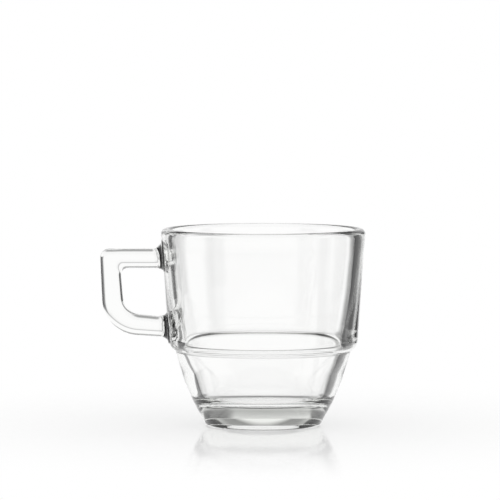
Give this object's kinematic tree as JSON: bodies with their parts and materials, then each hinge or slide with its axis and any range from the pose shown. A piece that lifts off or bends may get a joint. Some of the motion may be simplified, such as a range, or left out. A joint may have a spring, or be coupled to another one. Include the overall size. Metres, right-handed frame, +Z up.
{
  "type": "glass mug",
  "caption": "Clear glass stacking mug with a rounded lip, a stepped shoulder, a tapered bowl on a thick base and a solid D-shaped handle.",
  "frame": {"origin": "middle of the mug's bounding box, on the surface that it stands on", "axes": "+Z up along the cup, -X towards the handle, the XZ plane cuts the handle in half"},
  "size_m": [0.1104, 0.085, 0.082],
  "materials": {
    "cup_glass": "clear, fire-polished",
    "handle_glass": "clear, fire-polished"
  },
  "bodies": {
    "root": {"cup_body": "cup_glass", "handle": "handle_glass"}
  },
  "joints": []
}
